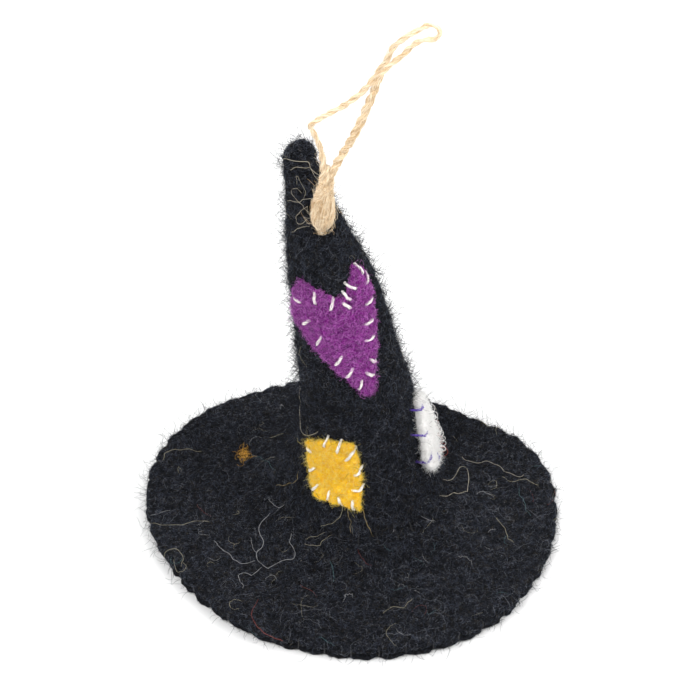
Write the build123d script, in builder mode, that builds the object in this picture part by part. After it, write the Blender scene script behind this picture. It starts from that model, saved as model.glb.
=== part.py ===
from build123d import *
from math import cos, floor, hypot, pi, radians, sin, tan
import os

# A hand-felted hanging ornament in the shape of a patched witch hat.
#
# Millimetres and degrees. The origin is the centre of the brim on the plane it rests on, +Z is up,
# and the front faces -Y. A "turn" is an angle round the crown's axis, from the front towards +X.

# ---- Driving dimensions -------------------------------------------------------------------------

CLEARANCE = 0.05  # between two layers of felt that lie on each other

# Brim: two plies of felt, cut by hand and sewn together round the edge.
BRIM_OUTLINE = (  # its radius every 15 degrees round from +X, out of round as scissors left it
    (60.6, 60.6, 57.0, 53.4, 52.6, 54.0, 56.0, 57.6)
    + (58.4, 60.0, 61.4, 61.8, 60.5, 58.2, 56.2, 55.6)
    + (55.8, 55.6, 56.4, 57.6, 59.0, 59.7, 59.5, 60.2)
)
BRIM_PLY = 1.95
BRIM_HOLE = 18.0
BRIM_FLAT_FROM = 40.0  # the brim is flat outside this distance from the crown's axis
BRIM_DOME = 5.5  # rise of the brim from there to its hole
EDGE_STITCHES = 48  # each pulls the edge in, and leaves a scallop between it and the next
SCALLOP_DEPTH = 0.5

# Crown: a hollow felt cone that flares at its foot and leans as it rises.
CROWN_Y = 6.0
CROWN_WALL = 2.6
CROWN_SECTIONS = (  # height, x of the axis, outer radius
    (5.0, 2.2, 27.0),
    (9.0, 2.2, 25.0),
    (13.0, 2.3, 22.8),
    (19.0, 2.5, 19.6),
    (27.0, 2.5, 17.2),
    (36.0, 2.0, 15.8),
    (46.0, 0.8, 14.7),
    (56.0, -0.8, 13.7),
    (66.0, -2.4, 12.7),
    (76.0, -4.2, 11.6),
    (84.0, -5.8, 10.5),
    (92.0, -7.8, 8.6),
    (100.0, -9.6, 6.8),
    (107.0, -10.9, 5.3),
    (113.0, -12.1, 4.5),
    (117.0, -12.6, 4.15),
    (120.0, -12.8, 3.4),
)
HOLLOW_TOP = 107.0  # the crown is solid felt above this
TIP = (-12.8, CROWN_Y, 120.2)  # centre of the rounded tip
TIP_RADIUS = 3.4

# Patches. An outline is a closed run of stretches, each a row of (turn, height) points.
PATCH_FELT = 1.4
HEART_FACING = 0
HEART_OUTLINE = (
    ((20, 82.5), (8, 82.6), (-10, 84.6), (-28, 86.0), (-42, 85.6)),
    ((-42, 85.6), (-56, 81.5), (-62, 76.5), (-55, 72.3)),
    ((-55, 72.3), (-30, 68.0), (-3, 60.0), (11, 54.0)),
    ((11, 54.0), (17, 52.3), (27, 53.2)),
    ((27, 53.2), (31, 60.0), (40, 68.0), (50, 75.0), (60, 81.5)),
    ((60, 81.5), (64, 86.0), (57, 89.4), (46, 89.2)),
    ((46, 89.2), (34, 86.8), (26, 84.8), (20, 82.5)),
)
SQUARE_FACING = -28
SQUARE_OUTLINE = (
    ((-59, 31.0), (-44, 34.8), (-28, 36.2), (-3, 36.0)),
    ((-3, 36.0), (3, 25.5), (2, 15.8)),
    ((2, 15.8), (-14, 16.8), (-36, 16.8)),
    ((-36, 16.8), (-50, 22.8), (-59, 31.0)),
)
WHITE_FACING = 85
WHITE_FELT = 2.1
WHITE_OUTLINE = (
    ((83, 40.3), (93, 39.6), (104, 36.0)),
    ((104, 36.0), (108, 28.0), (109, 20.0)),
    ((109, 20.0), (102, 17.6), (88, 17.2), (75, 18.5)),
    ((75, 18.5), (67, 20.0), (64, 23.0)),
    ((64, 23.0), (67, 28.5), (72, 34.5), (83, 40.3)),
)
WHITE_AXIS_X = 2.3
WHITE_PROFILE = ((13.2, 51.0), (16.2, 37.0), (19.3, 27.0), (21.8, 17.0), (22.7, 14.5))  # radius, height

# Hand stitches over the patch edges: turn, height, lean from level, length.
PATCH_THREAD = 0.42
HEART_CENTRE = (8, 72)
HEART_STITCHES = (
    (-47, 79.5, 174, 3.2),
    (-19, 82.3, 85, 4.2),
    (0, 80.5, 64, 3.7),
    (20, 80.0, 130, 3.0),
    (24, 82.4, 130, 2.7),
    (34, 84.8, 145, 3.3),
    (57, 87.2, 85, 2.8),
    (60, 84.4, 35, 3.8),
    (48, 78.9, 18, 3.0),
    (39, 73.7, 10, 3.5),
    (34, 69.0, 5, 3.6),
    (32, 62.4, 145, 2.4),
    (24, 59.0, 140, 2.2),
    (13, 55.9, 65, 3.6),
    (4, 60.0, 49, 4.5),
    (-5, 63.9, 50, 4.6),
    (-24, 69.3, 57, 4.6),
    (-37, 74.0, 37, 4.8),
)
SQUARE_CENTRE = (-27, 26)
SQUARE_STITCHES = (
    (-51, 29.0, 170, 2.6),
    (-33, 34.4, 81, 3.4),
    (-19, 34.3, 73, 4.8),
    (-8, 32.6, 52, 6.4),
    (-2, 27.0, 42, 3.8),
    (-2, 22.0, 18, 4.4),
    (-5, 17.2, 100, 2.8),
    (-15, 17.8, 120, 2.6),
    (-25, 18.6, 87, 2.9),
    (-38, 19.3, 55, 3.0),
    (-45, 23.9, 36, 3.2),
)
WHITE_CENTRE = (86, 32)
WHITE_THREAD = 0.3
WHITE_STITCHES = (
    (80.5, 38.2, 175, 3.8),
    (71.5, 31.0, 170, 3.9),
    (67.5, 24.0, 28, 4.2),
    (80, 19.4, 80, 4.2),
    (93, 18.8, 95, 4.2),
    (104, 19.8, 75, 4.2),
    (107, 26.0, 5, 4.2),
    (105, 33.0, 170, 4.2),
)

# Seams, in black thread. A stitch is an arc through three places.
SEAM_THREAD = 0.3
STITCH_SUNK = 0.9  # depth of a stitch's ends in the felt
STITCH_PROUD = 0.3  # height of its crest over the felt
EDGE_STITCH = ((-2.6, 3.6), (0.25, 2.15), (-2.6, 0.7))  # beyond the rim, height
BASE_STITCHES = 30  # hold the crown's foot down on the brim
BASE_STITCH = ((23.0, 10.9), (26.0, 9.2), (27.9, 6.4))  # from the crown's axis, height
BACK_STITCHES = 17  # close the crown's back, where the sheet's two edges meet
BACK_SEAM = (16.0, 108.0)  # its lowest and highest stitch
BACK_STITCH_LENGTH = 3.4
BACK_STITCH_SLANT = 0.6

# Hanging cord: one jute cord doubled, knotted inside the crown, out through a hole near the tip.
# It is limp, so it is made in three stiff lengths: they meet at a pivot just outside the hole, and
# at a bend at (5.8, -6.7, 146.8), under the eye.
HOLE_TURN = 20
HOLE_HEIGHT = 100.0
HOLE_RISE = 15  # how far the hole points up, square to the felt there
HOLE_RADIUS = 1.7
SHANK_RADIUS = 1.6
PIVOT_OUT = 1.6  # the cord bends this far outside the felt
KNOT_TURNS = 3
KNOT_CORD = 0.9
CORD_RADIUS = 0.8
LEFT_STRAND = (
    (-7.6, -2.3, 102.9),
    (-9.0, -2.8, 105.0),
    (-10.2, -3.3, 109.0),
    (-8.0, -3.8, 116.5),
    (-6.5, -4.2, 122.0),
    (-7.6, -4.7, 127.5),
    (-9.7, -5.2, 132.6),
    (-8.0, -5.4, 135.4),
    (-1.5, -5.9, 139.5),
    (3.8, -6.5, 145.0),
)
RIGHT_STRAND = (
    (-5.9, -2.3, 102.9),
    (-4.9, -2.8, 105.0),
    (-3.9, -3.2, 109.0),
    (-4.4, -3.8, 117.0),
    (-3.6, -4.2, 123.0),
    (-0.2, -4.9, 129.0),
    (2.7, -5.4, 135.2),
    (4.9, -6.1, 141.7),
    (5.9, -6.6, 145.2),
)
EYE_OUT = (  # from the bend round the eye's right side to the top of its bight
    (5.7, -6.8, 148.8),
    (7.6, -6.0, 150.4),
    (10.4, -6.6, 151.9),
    (13.6, -7.2, 155.6),
    (15.6, -8.4, 157.4),
    (18.2, -8.2, 157.6),
    (19.5, -7.9, 159.6),
    (17.9, -7.8, 161.2),
)
EYE_BACK = (  # from there down the eye's left side, back to the bend
    (17.9, -7.8, 161.2),
    (15.6, -6.8, 159.9),
    (12.2, -7.4, 158.8),
    (9.3, -7.2, 155.6),
    (7.4, -7.2, 152.2),
    (7.4, -7.6, 150.0),
    (7.3, -6.8, 148.2),
)

# ---- Places on the crown ------------------------------------------------------------------------

CROWN_FOOT_X = 2.2
CROWN_AXIS = Axis((CROWN_FOOT_X, CROWN_Y, 0), (0, 0, 1))
CROWN_PLANE = Plane(origin=(CROWN_FOOT_X, CROWN_Y, 0), x_dir=(1, 0, 0), z_dir=(0, -1, 0))
BRIM_TOP = 2 * BRIM_PLY + CLEARANCE  # height of the brim's upper face where it is flat
NEAR_REACH = 3.0  # a patch's cutting wedge runs between these distances from the axis
FAR_REACH = 32.0
FAR_OUT = 80.0  # beyond everything


def crown_section(height):
    """The crown's axis x and outer radius at a height."""
    for (z0, x0, r0), (z1, x1, r1) in zip(CROWN_SECTIONS, CROWN_SECTIONS[1:]):
        if height <= z1:
            share = (height - z0) / (z1 - z0)
            return x0 + share * (x1 - x0), r0 + share * (r1 - r0)
    return CROWN_SECTIONS[-1][1:]


def on_crown(turn, height, out):
    """The point so far outside the crown's surface, at a turn and a height."""
    axis_x, radius = crown_section(height)
    reach = radius + out
    return Vector(axis_x + reach * sin(radians(turn)), CROWN_Y - reach * cos(radians(turn)), height)


def edge_radius(heading):
    """The brim's cut radius in a direction from the origin, smooth through BRIM_OUTLINE."""
    count = len(BRIM_OUTLINE)
    place = heading / 360 * count
    first = floor(place)
    t = place - first
    a, b, c, d = (BRIM_OUTLINE[(first + step) % count] for step in (-1, 0, 1, 2))
    curve = (2 * a - 5 * b + 4 * c - d) * t**2 + (3 * b - a - 3 * c + d) * t**3
    return b + ((c - a) * t + curve) / 2


def polar(radius, heading, height=0.0):
    """A point at a distance and direction from the origin."""
    return Vector(radius * cos(radians(heading)), radius * sin(radians(heading)), height)


# ---- Shared shapes ------------------------------------------------------------------------------


def crown_layer(out, top):
    """The crown's shape grown or shrunk sideways by so much, up to a height, as one solid."""
    with BuildPart() as layer:
        for height, axis_x, radius in CROWN_SECTIONS:
            if height <= top:
                with BuildSketch(Plane.XY.offset(height)):
                    with Locations((axis_x, CROWN_Y)):
                        Circle(radius + out)
        loft()
    return layer.part


def brim_layer(low, high):
    """A sheet that follows the brim's dome, between two heights above its lower face."""
    with BuildPart() as layer:
        with BuildSketch(CROWN_PLANE):
            with BuildLine():
                for lift in (low, high):
                    Spline(
                        (BRIM_HOLE, BRIM_DOME + lift),
                        (BRIM_FLAT_FROM, lift),
                        tangents=((1, 0), (1, 0)),
                    )
                    Line((BRIM_FLAT_FROM, lift), (FAR_OUT, lift))
                Line((BRIM_HOLE, BRIM_DOME + low), (BRIM_HOLE, BRIM_DOME + high))
                Line((FAR_OUT, low), (FAR_OUT, high))
            make_face()
        revolve(axis=CROWN_AXIS)
    return layer.part


def brim_cut():
    """The upright space inside the brim's scalloped outline."""
    step = 360 / EDGE_STITCHES
    with BuildPart() as cut:
        with BuildSketch(Plane.XY.offset(-1)):
            with BuildLine():
                for count in range(EDGE_STITCHES):
                    start, middle, end = (step * (count + part) for part in (0, 0.5, 1))
                    ThreePointArc(
                        polar(edge_radius(start) - SCALLOP_DEPTH, start),
                        polar(edge_radius(middle), middle),
                        polar(edge_radius(end) - SCALLOP_DEPTH, end),
                    )
            make_face()
        extrude(amount=BRIM_TOP + BRIM_DOME + 2)
    return cut.part


def wedge(outline, facing):
    """The space that a patch's outline sweeps as it spreads out square to the crown's axis."""
    towards = Vector(sin(radians(facing)), -cos(radians(facing)), 0)
    across = Vector(cos(radians(facing)), sin(radians(facing)), 0)
    with BuildPart() as space:
        for reach in (NEAR_REACH, FAR_REACH):
            origin = Vector(0, CROWN_Y, 0) + towards * reach
            with BuildSketch(Plane(origin=origin, x_dir=across, z_dir=towards)):
                with BuildLine():
                    for stretch in outline:
                        points = []
                        for turn, height in stretch:
                            axis_x = crown_section(height)[0] * across.X
                            points.append((axis_x + reach * tan(radians(turn - facing)), height))
                        Spline(*points)
                make_face()
        loft(ruled=True)
    return space.part


def cord(points, radius):
    """A length of cord: a round rod between each two points, and a ball at each point."""
    points = [Vector(*point) for point in points]
    with BuildPart() as length:
        for start, end in zip(points, points[1:]):
            with BuildSketch(Plane(origin=start, z_dir=end - start)):
                Circle(radius)
            extrude(amount=(end - start).length)
        with Locations(points):
            Sphere(radius)
    return length.part


def stitch(start, crest, end, radius):
    """One stitch of thread, in a single arc whose ends are sunk in the felt."""
    with BuildPart() as arc:
        with BuildLine() as path:
            ThreePointArc(start, crest, end)
        with BuildSketch(Plane(origin=path.line @ 0, z_dir=path.line % 0)):
            Circle(radius)
        sweep()
    return arc.part


def patch_stitch(centre, turn, height, lean, length, cover):
    """The start, crest and end of a stitch from the crown over a patch's edge into the patch.

    cover gives how far the patch's outer face is outside the crown at a height.
    """
    scale = 180 / pi / (crown_section(height)[1] + cover(height))
    half = (length / 2 * cos(radians(lean)) * scale, length / 2 * sin(radians(lean)))
    ends = [(turn - half[0], height - half[1]), (turn + half[0], height + half[1])]
    ends.sort(key=lambda end: hypot((end[0] - centre[0]) / scale, end[1] - centre[1]))
    inner, outer = ends
    return (
        on_crown(*outer, -STITCH_SUNK),
        on_crown(turn, height, cover(height) + STITCH_PROUD),
        on_crown(*inner, cover(inner[1]) - STITCH_SUNK),
    )


def patch_cover(_):
    return CLEARANCE + PATCH_FELT


def white_cover(height):
    """How far the white patch's outer face is from the crown: it bridges the crown's hollow side."""
    for (r0, z0), (r1, z1) in zip(WHITE_PROFILE, WHITE_PROFILE[1:]):
        if height >= z1:
            radius = r0 + (r1 - r0) * (height - z0) / (z1 - z0)
            axis_x, crown_radius = crown_section(height)
            return radius + WHITE_FELT - crown_radius + WHITE_AXIS_X - axis_x
    return WHITE_FELT


def stitching(centre, stitches, radius, cover):
    """All of one patch's stitches."""
    with BuildPart() as group:
        for place in stitches:
            add(stitch(*patch_stitch(centre, *place, cover), radius))
    return group.part


# ---- Brim ---------------------------------------------------------------------------------------

with BuildPart() as brim_underside:
    add(brim_layer(0, BRIM_PLY))
    add(brim_cut(), mode=Mode.INTERSECT)

with BuildPart() as brim_top:
    add(brim_layer(BRIM_PLY + CLEARANCE, BRIM_TOP))
    add(brim_cut(), mode=Mode.INTERSECT)

with BuildPart() as brim_edge_stitching:
    for count in range(EDGE_STITCHES):
        heading = 360 / EDGE_STITCHES * count
        rim = edge_radius(heading) - SCALLOP_DEPTH
        places = [polar(rim + out, heading, height) for out, height in EDGE_STITCH]
        add(stitch(*places, SEAM_THREAD))

# ---- Crown --------------------------------------------------------------------------------------

hole_plane = Plane(
    origin=on_crown(HOLE_TURN, HOLE_HEIGHT, 0),
    z_dir=(
        sin(radians(HOLE_TURN)) * cos(radians(HOLE_RISE)),
        -cos(radians(HOLE_TURN)) * cos(radians(HOLE_RISE)),
        sin(radians(HOLE_RISE)),
    ),
)

with BuildPart() as crown:
    add(crown_layer(0, FAR_OUT * 2))
    with Locations(TIP):
        Sphere(TIP_RADIUS)
    add(crown_layer(-CROWN_WALL, HOLLOW_TOP), mode=Mode.SUBTRACT)
    add(brim_layer(-BRIM_DOME, BRIM_TOP + CLEARANCE), mode=Mode.SUBTRACT)
    with BuildSketch(hole_plane):
        Circle(HOLE_RADIUS)
    extrude(amount=CROWN_WALL * 2, both=True, mode=Mode.SUBTRACT)

with BuildPart() as base_seam_stitching:
    for count in range(BASE_STITCHES):
        turn = radians(360 / BASE_STITCHES * count)
        places = []
        for reach, height in BASE_STITCH:
            places.append((CROWN_FOOT_X + reach * sin(turn), CROWN_Y - reach * cos(turn), height))
        add(stitch(*places, SEAM_THREAD))

with BuildPart() as crown_seam_stitching:
    low, high = BACK_SEAM
    for count in range(BACK_STITCHES):
        height = low + (high - low) * count / (BACK_STITCHES - 1)
        half = BACK_STITCH_LENGTH / 2 / crown_section(height)[1] * 180 / pi
        start = on_crown(180 - half, height - BACK_STITCH_SLANT, -STITCH_SUNK)
        crest = on_crown(180, height, STITCH_PROUD)
        end = on_crown(180 + half, height + BACK_STITCH_SLANT, -STITCH_SUNK)
        add(stitch(start, crest, end, SEAM_THREAD))

# ---- Patches ------------------------------------------------------------------------------------

with BuildPart() as heart_patch:
    add(crown_layer(CLEARANCE + PATCH_FELT, FAR_OUT * 2))
    add(crown_layer(CLEARANCE, FAR_OUT * 2), mode=Mode.SUBTRACT)
    add(wedge(HEART_OUTLINE, HEART_FACING), mode=Mode.INTERSECT)

with BuildPart() as square_patch:
    add(crown_layer(CLEARANCE + PATCH_FELT, FAR_OUT * 2))
    add(crown_layer(CLEARANCE, FAR_OUT * 2), mode=Mode.SUBTRACT)
    add(wedge(SQUARE_OUTLINE, SQUARE_FACING), mode=Mode.INTERSECT)

with BuildPart() as white_patch:
    with BuildSketch(Plane(origin=(WHITE_AXIS_X, CROWN_Y, 0), x_dir=(1, 0, 0), z_dir=(0, -1, 0))):
        with BuildLine():
            inner = Spline(*WHITE_PROFILE)
            outer = Spline(*((radius + WHITE_FELT, height) for radius, height in WHITE_PROFILE))
            Line(inner @ 0, outer @ 0)
            Line(inner @ 1, outer @ 1)
        make_face()
    revolve(axis=Axis((WHITE_AXIS_X, CROWN_Y, 0), (0, 0, 1)))
    add(wedge(WHITE_OUTLINE, WHITE_FACING), mode=Mode.INTERSECT)

with BuildPart() as heart_stitching:
    add(stitching(HEART_CENTRE, HEART_STITCHES, PATCH_THREAD, patch_cover))

with BuildPart() as square_stitching:
    add(stitching(SQUARE_CENTRE, SQUARE_STITCHES, PATCH_THREAD, patch_cover))

with BuildPart() as white_patch_stitching:
    add(stitching(WHITE_CENTRE, WHITE_STITCHES, WHITE_THREAD, white_cover))

# ---- Hanging cord -------------------------------------------------------------------------------

knot_out = -CROWN_WALL - CLEARANCE - KNOT_CORD * 2  # place of the turn next to the curved wall

with BuildPart() as cord_stop_knot:
    knot_length = 2 * KNOT_CORD * KNOT_TURNS
    with BuildSketch(hole_plane.offset(knot_out - knot_length)):
        Circle(SHANK_RADIUS)
    extrude(amount=knot_length - knot_out + PIVOT_OUT)
    with Locations(hole_plane.offset(PIVOT_OUT)):
        Sphere(SHANK_RADIUS)
    for count in range(KNOT_TURNS):
        with Locations(hole_plane.offset(knot_out - 1.7 * KNOT_CORD * count)):
            Torus(SHANK_RADIUS, KNOT_CORD)

with BuildPart() as cord_loop_lower:
    add(cord(LEFT_STRAND, CORD_RADIUS))
    add(cord(RIGHT_STRAND, CORD_RADIUS))

with BuildPart() as cord_loop_upper:
    add(cord(EYE_OUT, CORD_RADIUS))
    add(cord(EYE_BACK, CORD_RADIUS))

# ---- Labels and files ---------------------------------------------------------------------------

pieces = {
    "brim_underside": brim_underside,
    "brim_top": brim_top,
    "brim_edge_stitching": brim_edge_stitching,
    "crown": crown,
    "base_seam_stitching": base_seam_stitching,
    "crown_seam_stitching": crown_seam_stitching,
    "heart_patch": heart_patch,
    "heart_stitching": heart_stitching,
    "square_patch": square_patch,
    "square_stitching": square_stitching,
    "white_patch": white_patch,
    "white_patch_stitching": white_patch_stitching,
    "cord_stop_knot": cord_stop_knot,
    "cord_loop_lower": cord_loop_lower,
    "cord_loop_upper": cord_loop_upper,
}

os.makedirs("parts", exist_ok=True)
for name, piece in pieces.items():
    piece.part.label = name
    export_step(piece.part, f"parts/{name}.step")
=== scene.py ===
import math

import bpy
import numpy as np
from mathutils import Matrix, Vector, noise
from mathutils.bvhtree import BVHTree
from mathutils.kdtree import KDTree


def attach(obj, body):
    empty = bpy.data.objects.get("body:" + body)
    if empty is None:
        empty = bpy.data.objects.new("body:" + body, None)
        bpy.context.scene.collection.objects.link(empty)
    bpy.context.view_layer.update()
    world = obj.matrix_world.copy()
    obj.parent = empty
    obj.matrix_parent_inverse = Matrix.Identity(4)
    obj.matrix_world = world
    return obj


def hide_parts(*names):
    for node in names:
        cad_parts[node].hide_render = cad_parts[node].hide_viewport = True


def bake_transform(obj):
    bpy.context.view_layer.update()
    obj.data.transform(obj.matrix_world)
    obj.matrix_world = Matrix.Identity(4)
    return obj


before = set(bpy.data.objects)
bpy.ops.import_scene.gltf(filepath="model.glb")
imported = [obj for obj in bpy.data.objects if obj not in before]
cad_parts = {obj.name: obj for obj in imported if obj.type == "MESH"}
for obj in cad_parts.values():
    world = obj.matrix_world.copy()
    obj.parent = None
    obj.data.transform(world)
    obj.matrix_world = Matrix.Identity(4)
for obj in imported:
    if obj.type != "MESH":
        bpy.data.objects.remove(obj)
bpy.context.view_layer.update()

# The looks of a hand-felted witch hat ornament. Points are in millimetres here, in the CAD's frame,
# and become metres when a mesh is made. A heading is an angle about +Z from +X, in degrees.

MM = 0.001
rng = np.random.default_rng(31)

BLACK_FELT_VOXEL = 0.5
PATCH_VOXEL = 0.3
PATCH_HELD = 1.2  # a patch is held within this distance of a stitch
PUFF_PRESSURE = 3.0
PUFF_MOST = 0.45  # how far a patch may puff up

CROWN_X = 2.2  # the crown's axis at its foot
CROWN_Y = 6.0
# Heights up the crown, and at each of them: the x of its axis, its radius, the white patch's outer radius.
CROWN_LEAN = (5, 27, 46, 66, 84, 100, 120), (2.2, 2.5, 0.8, -2.4, -5.8, -9.6, -12.8)
CROWN_RADIUS = (9, 19, 36, 66, 84, 100, 107, 120), (25, 19.6, 15.8, 12.7, 10.5, 6.8, 5.3, 3.4)
WHITE_REACH = (14.5, 17, 27, 37, 51), (24.9, 24.0, 21.5, 18.4, 15.4)
FOOT_RADIUS = 25.0  # the crown's foot covers the brim inside this
HOLE_RADIUS = 18.0  # the hole in the brim under the crown
SOLID_ABOVE = 112.0  # height above which the crown has no hollow
BRIM_HELD = 31.0  # the brim lies still inside this distance from the origin
BRIM_LIFTS = (  # heading of each place where the rim curls up, its lift in mm, its spread in degrees
    (160, 1.6, 28),
    (18, 1.5, 18),
    (310, 0.5, 25),
    (235, 0.6, 22),
)
TIP_X = -12.5  # the crown's axis at its tip
TIP_CREASE = 116.4  # height of the fold under the tip
TIP_CREASE_DEPTH = 1.0
TIP_CREASE_SLOPE = 0.12  # how fast the fold rises towards +X
TIP_SETTLED = 0.18  # share of its height over the fold that the tip has sunk
TIP_SWELL = 0.45  # how far the tip stands out over the fold
TIP_SWELL_ABOVE = 2.2  # height of the swelling over the fold

# ---- Meshes ----


def make_mesh(name, points, faces):
    """A mesh from points in mm and an (n, 3) or (n, 4) array of indices."""
    mesh = bpy.data.meshes.new(name)
    count, sides = faces.shape
    mesh.vertices.add(len(points))
    mesh.vertices.foreach_set("co", (np.asarray(points, float) * MM).ravel())
    mesh.loops.add(count * sides)
    mesh.loops.foreach_set("vertex_index", faces.ravel().astype(np.int32))
    mesh.polygons.add(count)
    mesh.polygons.foreach_set("loop_start", np.arange(0, count * sides, sides, dtype=np.int32))
    mesh.update(calc_edges=True)
    mesh.shade_smooth()
    return mesh


def make_object(name, points, faces, material=None):
    piece = bpy.data.objects.new(name, make_mesh(name, points, faces))
    bpy.context.scene.collection.objects.link(piece)
    if material:
        piece.data.materials.append(material)
    return piece


def mesh_points(mesh):
    points = np.empty(len(mesh.vertices) * 3)
    mesh.vertices.foreach_get("co", points)
    return points.reshape(-1, 3) / MM


def mesh_triangles(mesh):
    mesh.calc_loop_triangles()
    triangles = np.empty(len(mesh.loop_triangles) * 3, np.int64)
    mesh.loop_triangles.foreach_get("vertices", triangles)
    return triangles.reshape(-1, 3)


def add_to_hat(name, points, faces, material, slot, node=None):
    """A piece fixed to the hat, shown in place of a CAD node or besides them all."""
    piece = make_object(name, points, faces, material)
    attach(piece, "hat")
    if node:
        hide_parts(node)


def cad(node):
    """A CAD node's points in mm and its triangles."""
    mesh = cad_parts[node].data
    return mesh_points(mesh), mesh_triangles(mesh)


def applied(work):
    """The points and face corners that an object's modifiers give: the object itself goes."""
    mesh = bpy.data.meshes.new_from_object(work.evaluated_get(bpy.context.evaluated_depsgraph_get()))
    points = mesh_points(mesh)
    corners = np.empty(len(mesh.loops), np.int64)
    mesh.loops.foreach_get("vertex_index", corners)
    bpy.data.objects.remove(work)
    bpy.data.meshes.remove(mesh)
    return points, corners


def remeshed(points, faces, voxel):
    """The same closed surface, made of even quads."""
    work = make_object("work", points, faces)
    modifier = work.modifiers.new("remesh", "REMESH")
    modifier.mode = "VOXEL"
    modifier.voxel_size = voxel * MM
    points, quads = applied(work)
    return points, quads.reshape(-1, 4)


def joined(parts):
    """Several (points, faces) pairs as one."""
    points, faces, base = [], [], 0
    for part_points, part_faces in parts:
        points.append(part_points)
        faces.append(part_faces + base)
        base += len(part_points)
    return np.concatenate(points), np.concatenate(faces)


def edges_of(faces):
    """Every edge of the faces once, as pairs of point numbers."""
    pairs = np.stack([faces, np.roll(faces, -1, 1)], 2).reshape(-1, 2)
    return np.unique(np.sort(pairs, 1), axis=0)


def smoothed(points, faces, rounds):
    """Each point moves half of the way to the middle of its neighbours, round after round."""
    edges = edges_of(faces)
    a, b = np.concatenate([edges, edges[:, ::-1]]).T
    degree = np.maximum(np.bincount(a, minlength=len(points)), 1)[:, None]
    for _ in range(rounds):
        middle = np.stack([np.bincount(a, points[b, k], len(points)) for k in range(3)], 1) / degree
        points = points + 0.5 * (middle - points)
    return points


def unit(vectors):
    """The vectors, each made 1 long."""
    return vectors / np.maximum(np.linalg.norm(vectors, axis=-1, keepdims=True), 1e-9)


def distance_along(lines):
    """How far each point is along its line."""
    steps = np.linalg.norm(np.diff(lines, axis=-2), axis=-1)
    return np.concatenate([np.zeros_like(steps[..., :1]), np.cumsum(steps, -1)], -1)


def normals_of(points, faces):
    """Outward normals at the points of a closed surface."""
    span = np.cross(points[faces[:, 2]] - points[faces[:, 0]], points[faces[:, -1]] - points[faces[:, 1]])
    total = np.zeros_like(points)
    for k in range(3):
        for i in range(faces.shape[1]):
            total[:, k] += np.bincount(faces[:, i], span[:, k], len(points))
    return unit(total)


def cloud(points, size, seed):
    """Smooth noise from about -1 to 1 at each point, with lumps of a size in mm."""
    shift = Vector((seed * 17.3, seed * -9.1, seed * 5.7))
    return 1.6 * np.array([noise.noise(Vector(point) * (1 / size) + shift) for point in points.tolist()])


def any_angle(*shape):
    """Random angles in radians."""
    return rng.random(shape) * 6.28


def smoothstep(values, low, high):
    t = np.clip((values - low) / (high - low), 0, 1)
    return t * t * (3 - 2 * t)


def heading_of(points):
    return np.degrees(np.arctan2(points[:, 1], points[:, 0]))


def brim_lift(points):
    """How far the brim's waves lift the points."""
    heading = heading_of(points)
    lift = np.zeros(len(points))
    for place, height, spread in BRIM_LIFTS:
        off = (heading - place + 180) % 360 - 180
        lift += height * np.exp(-((off / spread) ** 2))
    return lift * smoothstep(np.linalg.norm(points[:, :2], axis=1), BRIM_HELD, 58)


def waved(points):
    points = points.copy()
    points[:, 2] += brim_lift(points)
    return points


# ---- Stitches ----

STITCH_POINTS = 18  # along the centre line of a stitch
SAMPLES = 1500  # places on a stitch that its centre line is fitted to
THREAD_TAPER = 0.35  # how much thinner a stitch is at its ends


def islands(points, faces):
    """The point numbers of each separate solid in a mesh, seams in the mesh healed."""
    _, same = np.unique(np.round(points, 3), axis=0, return_inverse=True)
    same = same.ravel()
    label = np.arange(same.max() + 1)
    corners = same[faces]
    while True:
        lowest = label[corners].min(1)
        before = label.copy()
        for i in range(3):
            np.minimum.at(label, corners[:, i], lowest)
        label = label[label]
        if (label == before).all():
            break
    found = label[same]
    return [np.flatnonzero(found == one) for one in np.unique(found)]


def stitch_lines(node):
    """The centre line of each stitch in a CAD node: an arc, as a row of points."""
    points, faces = cad(node)
    owner = np.zeros(len(points), int)
    groups = islands(points, faces)
    for number, group in enumerate(groups):
        owner[group] = number
    face_owner = owner[faces[:, 0]]
    lines = []
    for number in range(len(groups)):
        own = faces[face_owner == number]
        a, b, c = (points[own[:, i]] for i in range(3))
        area = np.linalg.norm(np.cross(b - a, c - a), axis=1)
        pick = rng.choice(len(own), SAMPLES, p=area / area.sum())
        u, v = rng.random((2, SAMPLES, 1))
        flip = u + v > 1
        u, v = np.where(flip, 1 - u, u), np.where(flip, 1 - v, v)
        sample = a[pick] + u * (b - a)[pick] + v * (c - a)[pick]
        middle = sample.mean(0)
        along, across, _ = np.linalg.svd(sample - middle, full_matrices=False)[2]
        x, y = (sample - middle) @ along, (sample - middle) @ across
        fit = np.linalg.lstsq(np.stack([x, y, np.ones_like(x)], 1), x**2 + y**2, rcond=None)[0]
        centre = fit[:2] / 2
        radius = math.sqrt(fit[2] + centre @ centre)
        facing = math.atan2(-centre[1], -centre[0])
        angle = np.arctan2(y - centre[1], x - centre[0]) - facing
        angle = (angle + math.pi) % (2 * math.pi) - math.pi
        sweep = np.linspace(angle.min(), angle.max(), STITCH_POINTS) + facing
        flat = centre + radius * np.stack([np.cos(sweep), np.sin(sweep)], 1)
        lines.append(middle + flat[:, :1] * along + flat[:, 1:] * across)
    return np.array(lines)


def laid(lines, tree, heights):
    """Lines brought down on a surface, then raised off it by so much."""
    flat = lines.reshape(-1, 3)
    landed, facing = np.empty_like(flat), np.empty_like(flat)
    for number, point in enumerate(flat.tolist()):
        landed[number], facing[number], _, _ = tree.find_nearest(point)
    return (landed + facing * heights.reshape(-1, 1)).reshape(lines.shape)


def relaxed(lines, rounds):
    """The lines with their small kinks taken out."""
    for _ in range(rounds):
        lines[:, 1:-1] = (lines[:, :-2] + 2 * lines[:, 1:-1] + lines[:, 2:]) / 4
    return lines


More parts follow.
